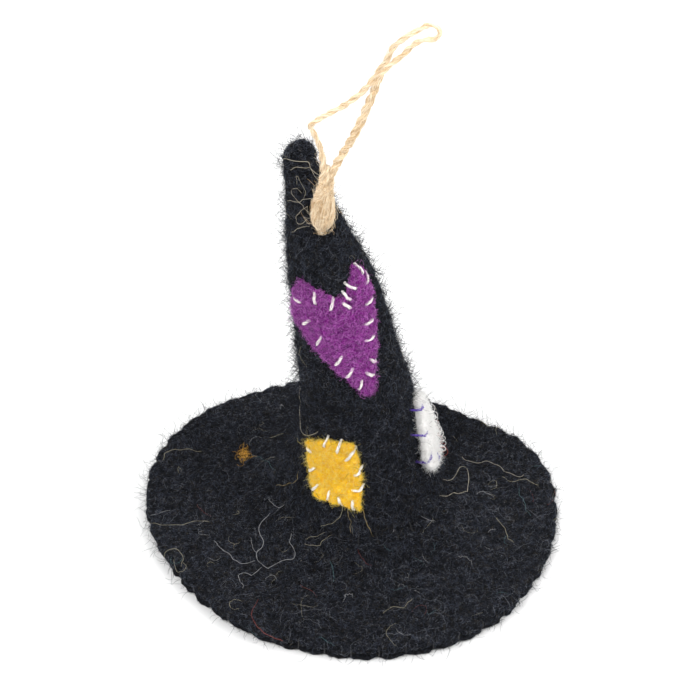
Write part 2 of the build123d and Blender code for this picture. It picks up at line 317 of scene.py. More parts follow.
def sewn(lines, tree, proud, sunk):
    """Stitches laid on a surface: proud of it in the middle, with their ends sunk in it."""
    steps = lines.shape[1]
    end = np.minimum(np.linspace(0, 1, steps), np.linspace(1, 0, steps))
    height = -sunk + (proud + sunk) * smoothstep(end, 0.02, 0.22)
    return relaxed(laid(lines, tree, np.tile(height, len(lines))), 3)


def tubes(lines, radii, sides):
    """Round tubes along many lines at once: lines is (n, k, 3), radii (n, k)."""
    count, steps, _ = lines.shape
    along = unit(np.gradient(lines, axis=1))
    spare = unit(np.cross(along[:, 0], along[:, -1] + rng.normal(0, 0.2, (count, 3))))
    up = unit(np.cross(along, np.cross(np.repeat(spare[:, None], steps, 1), along)))
    side = np.cross(along, up)
    turn = np.arange(sides) * 2 * math.pi / sides
    ring = up[:, :, None] * np.cos(turn)[:, None] + side[:, :, None] * np.sin(turn)[:, None]
    points = (lines[:, :, None] + ring * radii[:, :, None, None]).reshape(-1, 3)
    first = (np.arange(count)[:, None, None] * steps + np.arange(steps - 1)[None, :, None]) * sides
    here = first + np.arange(sides)
    there = first + (np.arange(sides) + 1) % sides
    faces = np.stack([here, there, there + sides, here + sides], -1).reshape(-1, 4)
    return points, faces


def plied(lines, radius, plies, pitch):
    """Centre lines and radii of the plies of thread twisted round each line."""
    run = distance_along(lines)
    along = unit(np.gradient(lines, axis=1))
    normal = unit(np.cross(along[:, 0], along[:, -1]))
    normal = np.repeat(normal[:, None], lines.shape[1], 1)
    other = np.cross(along, normal)
    start = any_angle(len(lines), 1)
    ends = np.minimum(run, run[:, -1:] - run) / run[:, -1:] * 2
    width = (1 - THREAD_TAPER) + THREAD_TAPER * np.sqrt(np.clip(ends * 1.6, 0, 1))
    found, radii = [], []
    for ply in range(plies):
        turn = (start + ply * 2 * math.pi / plies + run / pitch * 2 * math.pi)[:, :, None]
        reach = radius * (0.5 if plies > 1 else 0) * width[:, :, None]
        found.append(lines + reach * (np.cos(turn) * normal + np.sin(turn) * other))
        radii.append(radius * (0.62 if plies == 2 else 0.56) * width)
    return np.concatenate(found), np.concatenate(radii)


# ---- Fibres ----


class Surface:
    """A felt surface that fibres can lie on."""

    def __init__(self, points, faces):
        self.points = points
        self.faces = faces
        self.tree = BVHTree.FromPolygons(points.tolist(), faces.tolist())
        self.normals = normals_of(points, faces)
        diagonal = np.cross(
            points[faces[:, 2]] - points[faces[:, 0]], points[faces[:, 3]] - points[faces[:, 1]]
        )
        self.area = np.linalg.norm(diagonal, axis=1) / 2
        self.middle = points[faces].mean(1)

    def scatter(self, count, wanted):
        """Random places where wanted, a weight for each face, says, and the normals there."""
        weight = self.area * wanted
        pick = rng.choice(len(self.faces), count, p=weight / weight.sum())
        corner = self.faces[pick]
        share = rng.random((count, 4))
        share /= share.sum(1, keepdims=True)
        place = (self.points[corner] * share[:, :, None]).sum(1)
        normal = self.normals[corner].mean(1)
        return place, unit(normal)


def curls(place, normal, length, bend, steps):
    """Curly lines that start at a place and wander square to its normal."""
    count = len(place)
    east = unit(np.cross(normal, rng.normal(size=(count, 3))))
    north = np.cross(normal, east)
    turn = rng.normal(0, bend, (count, 1)) + np.cumsum(rng.normal(0, bend * 0.6, (count, steps)), 1)
    angle = any_angle(count, 1) + np.cumsum(turn, 1)
    step = (length / (steps - 1))[:, None, None]
    moves = np.cos(angle)[:, :, None] * east[:, None] + np.sin(angle)[:, :, None] * north[:, None]
    lines = place[:, None] + np.cumsum(moves * step, 1)
    return lines - (lines[:, steps // 2] - place)[:, None]


def lying_fibres(surface, count, wanted, length, bend, height, steps=6):
    """Fibres that run along the surface, arched a little off it."""
    place, normal = surface.scatter(count, wanted)
    lines = curls(place, normal, rng.uniform(*length, count), bend, steps)
    arch = np.sin(np.linspace(0, math.pi, steps)) + rng.normal(0, 0.15, (count, steps))
    heights = arch * rng.gamma(2.0, height / 2, (count, 1)) - 0.02
    return laid(lines, surface.tree, heights)


def loose_fibres(surface, count, wanted, length, bend, lift, steps=6):
    """Fibres with one end in the felt and the other in the air."""
    place, normal = surface.scatter(count, wanted)
    sizes = rng.uniform(*length, count)
    lines = curls(place, normal, sizes, bend, steps)
    lines -= (lines[:, 0] - place)[:, None]
    rise = np.linspace(0, 1, steps) ** 1.3 * rng.uniform(0.15, 1, (count, 1)) * lift
    return lines + normal[:, None] * (rise * sizes[:, None])[:, :, None] - normal[:, None] * 0.08


def fibre_piece(name, lines, width, kind, slot, taper=0.5):
    """One kind of fibre on the hat, one along each line: taper is how much thinner its ends are."""
    steps = lines.shape[1]
    shape = 1 - taper * np.abs(np.linspace(-1, 1, steps)) ** 3
    radii = np.asarray(width).reshape(-1, 1) / 2 * shape
    add_to_hat(name, *tubes(lines, np.broadcast_to(radii, lines.shape[:2]), 3), FIBRES[kind], slot)


# ---- Materials ----


class Nodes:
    """A short way to build one material's nodes."""

    def __init__(self, name):
        self.material = bpy.data.materials.new(name)
        self.material.use_nodes = True
        self.tree = self.material.node_tree
        self.shader = self.tree.nodes["Principled BSDF"]
        self.place = self.add("ShaderNodeTexCoord").outputs["Object"]

    def add(self, kind, **settings):
        node = self.tree.nodes.new(kind)
        for key, value in settings.items():
            setattr(node, key, value)
        return node

    def feed(self, socket, value):
        if isinstance(value, bpy.types.NodeSocket):
            self.tree.links.new(value, socket)
        else:
            socket.default_value = value

    def noise(self, size, detail=2.0, rough=0.5, warp=0.0, place=None):
        """Noise whose lumps are so many mm across."""
        node = self.add("ShaderNodeTexNoise")
        self.feed(node.inputs["Vector"], place or self.place)
        node.inputs["Scale"].default_value = 1 / (size * MM)
        node.inputs["Detail"].default_value = detail
        node.inputs["Roughness"].default_value = rough
        node.inputs["Distortion"].default_value = warp
        return node.outputs["Fac"]

    def shifted(self, offset):
        node = self.add("ShaderNodeMapping")
        self.feed(node.inputs["Vector"], self.place)
        node.inputs["Location"].default_value = offset
        return node.outputs["Vector"]

    def math(self, operation, *values):
        node = self.add("ShaderNodeMath", operation=operation)
        for socket, value in zip(node.inputs, values):
            self.feed(socket, value)
        return node.outputs["Value"]

    def band(self, value, low, high, to_low=0.0, to_high=1.0):
        """value spread smoothly from low..high to to_low..to_high."""
        node = self.add("ShaderNodeMapRange", interpolation_type="SMOOTHSTEP")
        for socket, number in zip(node.inputs, (value, low, high, to_low, to_high)):
            self.feed(socket, number)
        return node.outputs["Result"]

    def hairs(self, size, thin, offset, gap=0.5):
        """Curly hair-like lines: where a noise passes through its middle, broken up by another."""
        place = self.shifted(offset)
        field = self.noise(size, 1.0, 0.4, 0.6, place)
        line = self.band(self.math("ABSOLUTE", self.math("SUBTRACT", field, 0.5)), 0.0, thin, 1.0, 0.0)
        breaks = self.band(self.noise(size * 1.4, 1.0, 0.5, 0.0, place), gap - 0.05, gap + 0.06)
        return self.math("MULTIPLY", line, breaks)

    def mix(self, share, low, high):
        node = self.add("ShaderNodeMix", data_type="RGBA")
        self.feed(node.inputs["Factor"], share)
        for socket, colour in ((node.inputs["A"], low), (node.inputs["B"], high)):
            self.feed(socket, (*colour, 1) if isinstance(colour, tuple) else colour)
        return node.outputs["Result"]

    def bump(self, height, distance, strength=1.0, under=None):
        node = self.add("ShaderNodeBump")
        self.feed(node.inputs["Height"], height)
        node.inputs["Distance"].default_value = distance * MM
        node.inputs["Strength"].default_value = strength
        if under:
            self.feed(node.inputs["Normal"], under)
        return node.outputs["Normal"]

    def finish(self, colour, roughness=0.95, sheen=0.0, specular=0.1, normal=None, tint=(1, 1, 1)):
        for name, value in (
            ("Base Color", (*colour, 1) if isinstance(colour, tuple) else colour),
            ("Roughness", roughness),
            ("Sheen Weight", sheen),
            ("Sheen Roughness", 0.6),
            ("Sheen Tint", (*tint, 1)),
            ("Specular IOR Level", specular),
        ):
            self.feed(self.shader.inputs[name], value)
        if normal:
            self.feed(self.shader.inputs["Normal"], normal)
        return self.material


def felt(name, dark, body, light, hair_show, sheen, bump=0.35):
    """Matted wool: mottled, with three layers of curly hairs over it, and shade painted dark into small
    pits.
    """
    n = Nodes(name)
    mottle = n.band(n.noise(5.0, 4.0, 0.6), 0.35, 0.65)
    grain = n.noise(0.45, 3.0, 0.65)
    colour = n.mix(n.math("MULTIPLY", n.band(grain, 0.3, 0.7), n.band(mottle, 0, 1, 0.6, 1.0)), dark, body)
    fine = n.hairs(1.3, 0.022, (0.11, 0.02, 0.05), 0.46)
    middle = n.hairs(2.1, 0.014, (0.31, 0.07, 0.21), 0.5)
    wide = n.hairs(0.8, 0.03, (0.53, 0.41, 0.09), 0.5)
    hairs = n.math("MAXIMUM", n.math("MAXIMUM", fine, middle), n.math("MULTIPLY", wide, 0.6))
    colour = n.mix(n.math("MULTIPLY", hairs, hair_show), colour, light)
    # Painted shade: the dark colour goes where a noise makes pits, standing in for shade in the felt's
    # hollows.
    painted_pit_shade = n.band(n.noise(1.5, 2.0, 0.5, 0.4), 0.34, 0.52)
    colour = n.mix(painted_pit_shade, dark, colour)
    height = n.math("ADD", n.math("MULTIPLY", grain, 0.8), n.math("MULTIPLY", hairs, 0.35))
    normal = n.bump(height, bump, 0.9, n.bump(n.noise(2.2, 3.0, 0.6), 0.5, 0.6))
    return n.finish(colour, 0.97, sheen, 0.06, normal)


def fibre(name, colour, rough, sheen, specular=0.15):
    """One colour of loose fibre, dull in places."""
    n = Nodes(name)
    roughness = n.band(n.noise(0.9, 2.0), 0.3, 0.7, rough - 0.15, rough + 0.15)
    return n.finish(colour, roughness, sheen, specular)


def thread_material(name, colour, shadow):
    """Spun thread: fine slanting strands, with shade painted darker in the grooves between them."""
    n = Nodes(name)
    strands = n.noise(0.16, 3.0, 0.6)
    blotch = n.noise(1.6, 2.0)
    tone = n.math("ADD", strands, n.math("MULTIPLY", blotch, 0.4))
    # Painted shade: the shadow colour goes where the fine strand noise is low, in the grooves, with random
    # blotches besides.
    colour = n.mix(n.band(tone, 0.45, 0.85), shadow, colour)
    return n.finish(colour, 0.8, 0.2, 0.2, n.bump(strands, 0.08, 0.8))


FELT_LOOKS = {  # slot: dark colour (for the grain and the painted shade in the pits), body and light colours, how much the hairs show, sheen and bump
    "black_felt": ((0.0018, 0.002, 0.0027), (0.009, 0.010, 0.0135), (0.075, 0.084, 0.105), 0.65, 0.02, 0.35),
    "purple_felt": ((0.10, 0.002, 0.11), (0.34, 0.018, 0.34), (0.62, 0.18, 0.62), 0.6, 0.05, 0.35),
    "yellow_felt": ((0.86, 0.46, 0.008), (1.0, 0.72, 0.025), (1.0, 0.86, 0.17), 0.45, 0.05, 0.25),
    "white_felt": ((0.84, 0.81, 0.79), (0.97, 0.955, 0.94), (1.0, 0.99, 0.98), 0.5, 0.1, 0.25),
}
FELTS = {slot: felt(slot + "_wool", *look) for slot, look in FELT_LOOKS.items()}

# ---- Felt pieces ----

PATCHES = {  # CAD node: its stitching, felt, and the felt's thickness
    "heart_patch": ("heart_stitching", "purple_felt", 1.4),
    "square_patch": ("square_stitching", "yellow_felt", 1.4),
    "white_patch": ("white_patch_stitching", "white_felt", 2.0),
}
SEAMS = ("brim_edge_stitching", "base_seam_stitching", "crown_seam_stitching")
STITCHED = {node: stitch_lines(node) for node in (*SEAMS, *(row[0] for row in PATCHES.values()))}


def distance_to(points, targets):
    """How far each point is from the nearest target."""
    tree = KDTree(len(targets))
    for number, target in enumerate(targets.tolist()):
        tree.insert(target, number)
    tree.balance()
    return np.array([tree.find(point)[2] for point in points.tolist()])


def drawn_in(points, normals, lines, depth, reach):
    """Felt pulled in where stitches press on it, most where they go through it."""
    along = distance_to(points, lines[:, 4:-4].reshape(-1, 3))
    ends = distance_to(points, lines[:, [2, -3]].reshape(-1, 3))
    dent = depth * np.exp(-((along / reach) ** 2)) + 0.7 * depth * np.exp(-((ends / reach) ** 2))
    return points - normals * dent[:, None]


def roughened(points, faces, lumps, seed):
    """The surface moved in and out: lumps is a row of (height, size) in mm."""
    normals = normals_of(points, faces)
    shift = sum(height * cloud(points, size, seed + number) for number, (height, size) in enumerate(lumps))
    return points + normals * shift[:, None]


def felt_surface(node, voxel, rounds, grow):
    """A CAD felt solid with its edges rounded, grown back to the size it had."""
    points, faces = remeshed(*cad(node), voxel)
    points = smoothed(points, faces, rounds)
    return points + grow * normals_of(points, faces), faces


def add_felt(node, points, faces, slot):
    add_to_hat(node + "_felt", points, faces, FELTS[slot], slot, node)
    return Surface(points, faces)


def make_brim(node, seed):
    points, faces = felt_surface(node, BLACK_FELT_VOXEL, 4, -0.15)
    points = roughened(points, faces, ((0.25, 11), (0.3, 3.0), (0.2, 1.3)), seed)
    normals = normals_of(points, faces)
    points = drawn_in(points, normals, STITCHED["brim_edge_stitching"], 0.3, 0.9)
    points = drawn_in(points, normals, STITCHED["base_seam_stitching"], 0.2, 0.9)
    points = waved(points)
    points[:, 2] = np.maximum(points[:, 2], 0.02)
    return add_felt(node, points, faces, "black_felt")


def make_crown():
    """The crown, with a fold under its tip and the tip's felt swelling over it."""
    points, faces = felt_surface("crown", BLACK_FELT_VOXEL, 3, 0.1)
    points = roughened(points, faces, ((0.4, 14), (0.3, 4.0), (0.18, 1.4)), 5)
    points[:, 2] -= TIP_SETTLED * np.maximum(points[:, 2] - TIP_CREASE, 0)
    outward = points[:, :2] - (TIP_X, CROWN_Y)
    reach = np.maximum(np.linalg.norm(outward, axis=1, keepdims=True), 1e-6)
    above = points[:, 2] - (TIP_CREASE + TIP_CREASE_SLOPE * outward[:, 0])
    fold = -TIP_CREASE_DEPTH * np.exp(-((above / 0.8) ** 2))
    fold += TIP_SWELL * np.exp(-(((above - TIP_SWELL_ABOVE) / 1.2) ** 2))
    points[:, :2] += outward / reach * fold[:, None]
    normals = normals_of(points, faces)
    points = drawn_in(points, normals, STITCHED["base_seam_stitching"], 0.2, 0.9)
    points = drawn_in(points, normals, STITCHED["crown_seam_stitching"], 0.3, 1.1)
    for stitching, _, _ in PATCHES.values():
        points = drawn_in(points, normals, STITCHED[stitching], 0.15, 1.0)
    return add_felt("crown", points, faces, "black_felt")


def puffed(points, faces, held):
    """Felt puffed up by cloth simulation between the places where it is held."""
    scale = 0.1 / MM  # the solver is steadier on a large copy, where 1 mm is 0.1
    work = make_object("puff", points * scale, faces)
    group = work.vertex_groups.new(name="held")
    group.add([int(number) for number in np.flatnonzero(held)], 1.0, "REPLACE")
    cloth = work.modifiers.new("cloth", "CLOTH")
    settings = cloth.settings
    settings.quality = 6
    settings.mass = 0.3
    settings.tension_stiffness = 40
    settings.compression_stiffness = 40
    settings.shear_stiffness = 20
    settings.bending_stiffness = 8
    settings.vertex_group_mass = "held"
    settings.use_pressure = True
    settings.uniform_pressure_force = PUFF_PRESSURE
    settings.effector_weights.gravity = 0
    cloth.collision_settings.use_collision = False
    for number in range(1, 21):
        bpy.context.scene.frame_set(number)
    moved = applied(work)[0] / scale - points
    bpy.context.scene.frame_set(1)
    length = np.linalg.norm(moved, axis=1, keepdims=True)
    return points + moved * np.minimum(1, PUFF_MOST / np.maximum(length, 1e-9))


def make_patch(node, stitching, slot, thickness, seed):
    """A felt patch: puffed between its stitches, notched where they pull on its cut edge."""
    points, faces = felt_surface(node, PATCH_VOXEL, 4, 0.05)
    lines = STITCHED[stitching]
    off = distance_to(points, lines[:, 3:-3].reshape(-1, 3))
    depth = np.array([crown.tree.find_nearest(point)[3] for point in points.tolist()])
    points = puffed(points, faces, (off < PATCH_HELD) | (depth < 0.5 * thickness))
    notch = 0.4 * np.exp(-((off / 0.8) ** 2))
    points = points + unit(points.mean(0) - points) * notch[:, None]
    points = drawn_in(points, normals_of(points, faces), lines, 0.28, 0.7)
    points = roughened(points, faces, ((0.16, 3.5), (0.16, 1.4), (0.1, 0.6)), seed)
    return add_felt(node, points, faces, slot)


brim_top = make_brim("brim_top", 11)
brim_underside = make_brim("brim_underside", 23)
crown = make_crown()
PATCH_SURFACES = {
    node: make_patch(node, *row, 41 + 2 * number) for number, (node, row) in enumerate(PATCHES.items())
}

# ---- Threads ----

THREAD_COLOURS = {  # material slot: the thread's colour, and the darker colour painted in its grooves as shade
    "white_thread": ((0.90, 0.87, 0.83), (0.60, 0.56, 0.52)),
    "violet_thread": ((0.11, 0.055, 0.42), (0.05, 0.02, 0.22)),
    "black_thread": ((0.012, 0.012, 0.014), (0.004, 0.004, 0.005)),
}
SPUN = {slot: thread_material(slot + "_spun", *colours) for slot, colours in THREAD_COLOURS.items()}

heart_patch, square_patch, white_patch = PATCH_SURFACES.values()
THREADS = (  # CAD node, what the stitches lie on, slot, radius, plies, pitch, how proud, how sunk
    ("heart_stitching", (crown, heart_patch), "white_thread", 0.46, 3, 6.0, 0.3, 0.6),
    ("square_stitching", (crown, square_patch), "white_thread", 0.46, 3, 6.0, 0.3, 0.6),
    ("white_patch_stitching", (crown, white_patch), "violet_thread", 0.42, 2, 3.0, 0.25, 0.5),
    ("brim_edge_stitching", (brim_top, brim_underside), "black_thread", 0.22, 2, 1.5, 0.05, 0.5),
    ("base_seam_stitching", (crown, brim_top), "black_thread", 0.22, 2, 1.5, 0.0, 0.5),
    ("crown_seam_stitching", (crown,), "black_thread", 0.24, 2, 1.5, 0.1, 0.6),
)


def surface_tree(surfaces):
    """One search tree for several surfaces."""
    points, faces = joined([(surface.points, surface.faces) for surface in surfaces])
    return BVHTree.FromPolygons(points.tolist(), faces.tolist())


def make_thread(node, surfaces, slot, radius, plies, pitch, proud, sunk):
    lines = STITCHED[node]
    if node == "brim_edge_stitching":
        lines = waved(lines.reshape(-1, 3)).reshape(lines.shape)
    lines = sewn(lines, surface_tree(surfaces), proud, sunk)
    points, faces = tubes(*plied(lines, radius, plies, pitch), 8)
    add_to_hat(node + "_thread", points, faces, SPUN[slot], slot, node)


for row in THREADS:
    make_thread(*row)

# ---- Cord ----

JUTE_CORE = felt("jute_core", (0.50, 0.33, 0.17), (0.80, 0.61, 0.38), (0.90, 0.74, 0.52), 0.5, 0.05, 0.2)
JUTE_KINDS = (  # name, material, share of the fibres
    ("pale", fibre("jute_fibre_pale", (0.95, 0.84, 0.66), 0.6, 0.1), 0.4),
    ("mid", fibre("jute_fibre", (0.93, 0.76, 0.53), 0.6, 0.1), 0.42),
    ("dark", fibre("jute_fibre_dark", (0.70, 0.49, 0.27), 0.6, 0.1), 0.18),
)

CORD_PATH = (  # x, y, z, and the strand's radius, from the hole up, round the eye and back
    (-7.3, -0.4, 100.0, 0.6),
    (-7.5, -1.9, 100.9, 0.6),
    (-7.9, -2.8, 102.8, 1.05),
    (-8.4, -3.4, 106.0, 1.5),
    (-8.3, -3.8, 110.0, 1.4),
    (-7.7, -4.1, 114.0, 1.2),
    (-7.0, -4.3, 118.2, 1.0),
    (-6.8, -4.5, 122.0, 0.85),
    (-7.4, -4.8, 127.0, 0.76),
    (-8.7, -5.1, 131.0, 0.74),
    (-9.7, -5.2, 133.2, 0.74),
    (-8.3, -5.4, 135.0, 0.74),
    (-5.0, -5.6, 137.2, 0.74),
    (-1.5, -5.9, 139.5, 0.76),
    (2.0, -6.2, 142.6, 0.78),
    (4.6, -6.5, 145.9, 0.8),
    (6.2, -6.2, 148.2, 0.8),
    (8.0, -6.3, 151.2, 0.78),
    (9.6, -6.9, 155.0, 0.76),
    (12.2, -7.4, 157.6, 0.72),
    (15.2, -7.4, 159.5, 0.66),
    (17.4, -7.8, 160.9, 0.6),
    (19.3, -8.0, 160.4, 0.58),
    (19.9, -8.0, 158.8, 0.58),
    (18.8, -8.1, 157.5, 0.6),
    (16.6, -8.0, 157.3, 0.66),
    (14.4, -7.6, 156.2, 0.72),
    (12.0, -7.1, 153.4, 0.76),
    (9.6, -6.8, 151.0, 0.78),
    (7.6, -6.9, 149.3, 0.82),
    (6.4, -6.9, 147.0, 0.95),
    (5.0, -6.3, 142.6, 1.05),
    (2.7, -5.6, 136.0, 1.08),
    (0.2, -5.0, 130.0, 1.08),
    (-2.4, -4.5, 124.8, 1.05),
    (-4.5, -4.2, 120.3, 1.05),
    (-5.4, -3.9, 116.5, 1.15),
    (-5.7, -3.6, 112.5, 1.35),
    (-5.7, -3.2, 107.5, 1.55),
    (-6.2, -2.8, 104.0, 1.35),
    (-6.9, -2.2, 102.0, 0.7),
    (-7.1, -0.2, 100.2, 0.6),
)
NECK_PATH = (  # the soft bunch that fills the middle of the neck
    (-7.0, -1.2, 100.6, 0.45),
    (-7.2, -2.3, 102.4, 1.1),
    (-7.2, -3.1, 105.2, 1.8),
    (-7.1, -3.6, 108.4, 1.8),
    (-6.9, -3.9, 111.4, 1.6),
    (-6.6, -4.1, 114.4, 1.3),
    (-6.2, -4.3, 117.4, 1.05),
    (-5.8, -4.4, 120.4, 0.8),
    (-5.7, -4.4, 122.0, 0.5),
)
HOLE = (-7.274, -0.390, 100.0)  # where the cord goes through the crown's wall
HOLE_AXIS = (0.330366, -0.907673, 0.258819)  # outward along the hole
KNOT_TURN = 1.6  # radius of the stop knot's turns
KNOT_CORD = 0.8  # radius of the cord in it
# The cord's two ends in the knot: along the hole's axis, off it, and angle round it in degrees.
WOUND_END = (
    *((0.6, 0.45, 0), (-1.5, 0.45, 0), (-3.4, 0.5, 0)),
    *((-4.2 - 0.13 * step, KNOT_TURN, 30 * step) for step in range(1, 28)),
    *((-8.2, 1.0, 880), (-9.2, 0.8, 890), (-10.4, 1.1, 890)),
)
STRAIGHT_END = (
    *((0.6, 0.45, 180), (-1.5, 0.45, 180), (-3.6, 0.3, 180)),
    *((-6.0, 0.2, 180), (-8.4, 0.5, 200), (-10.0, 1.2, 210)),
)
CORD_PITCH = 6.5  # one turn of the two plies
WHISKERS = 3.2  # loose ends on each mm of a cord of usual thickness
USUAL_RADIUS = 0.75
FIBRE_RADIUS = 0.05
WHISKER_RADIUS = 0.026
CORD_CUT = 126.0  # height where the cord passes from one piece to the other


def even_curve(rows, gap):
    """A smooth curve through rows of numbers, with a point every gap mm."""
    rows = np.array(rows, float)
    padded = np.concatenate([2 * rows[:1] - rows[1:2], rows, 2 * rows[-1:] - rows[-2:-1]])
    pieces = []
    for a, b, c, d in zip(padded, padded[1:], padded[2:], padded[3:]):
        t = np.linspace(0, 1, 24, endpoint=False)[:, None]
        squared, cubed = 2 * a - 5 * b + 4 * c - d, 3 * b - a - 3 * c + d
        pieces.append(0.5 * (2 * b + (c - a) * t + squared * t**2 + cubed * t**3))
    curve = np.concatenate([*pieces, rows[-1:]])
    run = distance_along(curve[:, :3])
    even = np.linspace(0, run[-1], int(run[-1] / gap) + 1)
    return np.stack([np.interp(even, run, curve[:, k]) for k in range(rows.shape[1])], 1)


class Strand:
    """The doubled cord's whole path: its centre line, two directions square to it, and its radius."""

    def __init__(self, rows):
        curve = even_curve(rows, 0.15)
        self.line, self.radius = curve[:, :3], curve[:, 3]
        self.run = distance_along(self.line)
        along = unit(np.gradient(self.line, axis=0))
        self.side = unit(np.cross(along, (0, -1, 0.15)))
        self.up = np.cross(along, self.side)

    def at(self, run, reach, turn):
        """Points at distances along the cord, off its centre by a share of its radius at an angle."""
        line, side, up = (
            np.stack([np.interp(run, self.run, part[:, k]) for k in range(3)], -1)
            for part in (self.line, self.side, self.up)
        )
        reach = (reach * np.interp(run, self.run, self.radius))[..., None]
        return line + reach * (np.cos(turn)[..., None] * side + np.sin(turn)[..., None] * up)


def looseness(strand, run):
    """0 where the cord is tightly laid, 1 where it has come open into a soft bunch."""
    return smoothstep(np.interp(run, strand.run, strand.radius), 0.95, 1.35)


def ply_line(strand, run, loose, ply):
    """Points on the centre line of one of the cord's two plies."""
    return strand.at(run, 0.42 - 0.34 * loose, run / CORD_PITCH * 2 * math.pi + ply * math.pi)


def cord_plies(strand, low, high):
    """The two plies' cores between two distances along the cord."""
    run = np.arange(low, high, 0.35)
    loose = looseness(strand, run)
    lines, radii = [], []
    for ply in (0, 1):
        lines.append(ply_line(strand, run, loose, ply))
        radii.append(np.interp(run, strand.run, strand.radius) * (0.5 + 0.36 * loose))
    return tubes(np.array(lines), np.array(radii), 12)


def cord_fibres(strand, count, low, high, steps=16):
    """Fibres wound into the plies, and lying more along the cord where it is loose."""
    first = rng.uniform(low - 4, high - 4, (count, 1))
    run = np.clip(first + np.linspace(0, 1, steps) * rng.uniform(5, 12, (count, 1)), low, high)
    loose = looseness(strand, run)
    ply = rng.integers(0, 2, (count, 1))
    own = any_angle(count, 1)
    own = own + run / rng.uniform(8, 14, (count, 1)) * 2 * math.pi * (1 - 0.8 * loose)
    wander = np.cumsum(rng.normal(0, 0.035, (count, steps)), 1)
    reach = (0.5 + 0.38 * loose) * rng.uniform(0.86, 1.1, (count, 1)) + wander * (0.4 + loose)
    offset = strand.at(run, reach, own) - strand.at(run, np.zeros(run.shape), own)
    return ply_line(strand, run, loose, ply) + offset


def cord_whiskers(strand, count, low, high, length, steps=8):
    """Fibre ends that have come loose from the cord."""
    run = rng.uniform(low, high, (count, 1)) + np.linspace(0, 1, steps) * rng.uniform(*length, (count, 1))
    turn = any_angle(count, 1) + np.cumsum(rng.normal(0, 0.3, (count, steps)), 1)
    out = np.linspace(0, 1, steps) ** 1.5 * rng.gamma(2.0, 0.4, (count, 1))
    return strand.at(np.clip(run, low, high), 0.85 + out, turn)


def closed_cut(strand):
    """Distances along the cord where it goes up through the cut and comes back down."""
    above = strand.line[:, 2] > CORD_CUT
    inside = strand.run[above]
    return inside.min(), inside.max()


def knot_strand(rows):
    """One end of the cord in the stop knot, from rows of place along the hole, reach off it, and angle."""
    axis = Vector(HOLE_AXIS)
    side = axis.cross((0, 0, 1)).normalized()
    up = side.cross(axis)
    path = []
    for along, reach, angle in rows:
        off = side * math.cos(math.radians(angle)) + up * math.sin(math.radians(angle))
        path.append((*(Vector(HOLE) + axis * along + off * reach), KNOT_CORD))
    return Strand(path)


def jute_pieces(name, stretches, density):
    """A core and its fibres for stretches of cord, each a strand and where it starts and ends."""
    cores = [cord_plies(strand, low, high) for strand, low, high in stretches]
    pieces = [make_object(name, *joined(cores), JUTE_CORE)]
    for kind, material, share in JUTE_KINDS:
        parts = []
        for strand, low, high in stretches:
            run = np.linspace(low, high, 50)
            wide = np.interp(run, strand.run, strand.radius).mean() / USUAL_RADIUS
            lines = cord_fibres(strand, int((high - low) * density * share * wide), low, high)
            parts.append(tubes(lines, np.full(lines.shape[:2], FIBRE_RADIUS), 4))
            loose = cord_whiskers(strand, int((high - low) * WHISKERS * share * wide), low, high, (1.0, 5.0))
            parts.append(tubes(loose, np.full(loose.shape[:2], WHISKER_RADIUS), 3))
        pieces.append(make_object(name + "_" + kind, *joined(parts), material))
    return pieces


cord = Strand(CORD_PATH)
neck = Strand(NECK_PATH)
cut_up, cut_down = closed_cut(cord)
cord_end = cord.run[-1]

neck_stretches = ((cord, 0.0, cut_up + 0.3), (cord, cut_down - 0.3, cord_end), (neck, 0.0, neck.run[-1]))
neck_pieces = jute_pieces("cord_neck", neck_stretches, 16)
for piece in neck_pieces:
    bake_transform(piece)
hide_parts("cord_loop_lower")

eye_pieces = jute_pieces("cord_eye", ((cord, cut_up, cut_down),), 13)
for piece in eye_pieces:
    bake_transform(piece)
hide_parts("cord_loop_upper")

knot = [knot_strand(rows) for rows in (WOUND_END, STRAIGHT_END)]
knot_pieces = jute_pieces("cord_knot_twist", [(strand, 0.0, strand.run[-1]) for strand in knot], 13)
for piece in knot_pieces:
    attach(piece, "cord_knot")
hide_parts("cord_stop_knot")

# ---- Felt fibres ----


def covered(points):
    """Whether each point is under a patch."""
    trees = [patch.tree for patch in PATCH_SURFACES.values()]
    return np.array([any(tree.find_nearest(point, 1.0)[0] for tree in trees) for point in points.tolist()])


def outside(surface, node):
    """A weight for each face of a black piece: less inside the hat, none where it is out of sight."""
    middle = surface.middle
    facing = surface.normals[surface.faces[:, 0]]
    if node == "crown":
        axis = np.interp(middle[:, 2], *CROWN_LEAN)
        out = np.stack([middle[:, 0] - axis, middle[:, 1] - CROWN_Y], 1)
        outward = (out * facing[:, :2]).sum(1) > 0.1 * np.linalg.norm(out, axis=1)
        weight = np.where(outward | (middle[:, 2] > SOLID_ABOVE), 1.0, 0.06)
        weight[covered(middle)] = 0
        return weight
    side, inner = (1, FOOT_RADIUS) if node == "brim_top" else (-1, HOLE_RADIUS)
    reach = np.hypot(middle[:, 0] - CROWN_X, middle[:, 1] - CROWN_Y)
    return np.where((side * facing[:, 2] > -0.35) & (reach > inner), 1.0, 0.0)


def patch_faces(surface, edge_only):
    """A weight for each face of a patch: its whole outer side, or just its cut edge."""
    found = [crown.tree.find_nearest(point) for point in surface.middle.tolist()]
    under = np.array([hit[1] for hit in found])
    along = (under * surface.normals[surface.faces[:, 0]]).sum(1)
    return np.where(np.abs(along) < 0.75, 1.0, 0.0) if edge_only else np.where(along > -0.2, 1.0, 0.0)


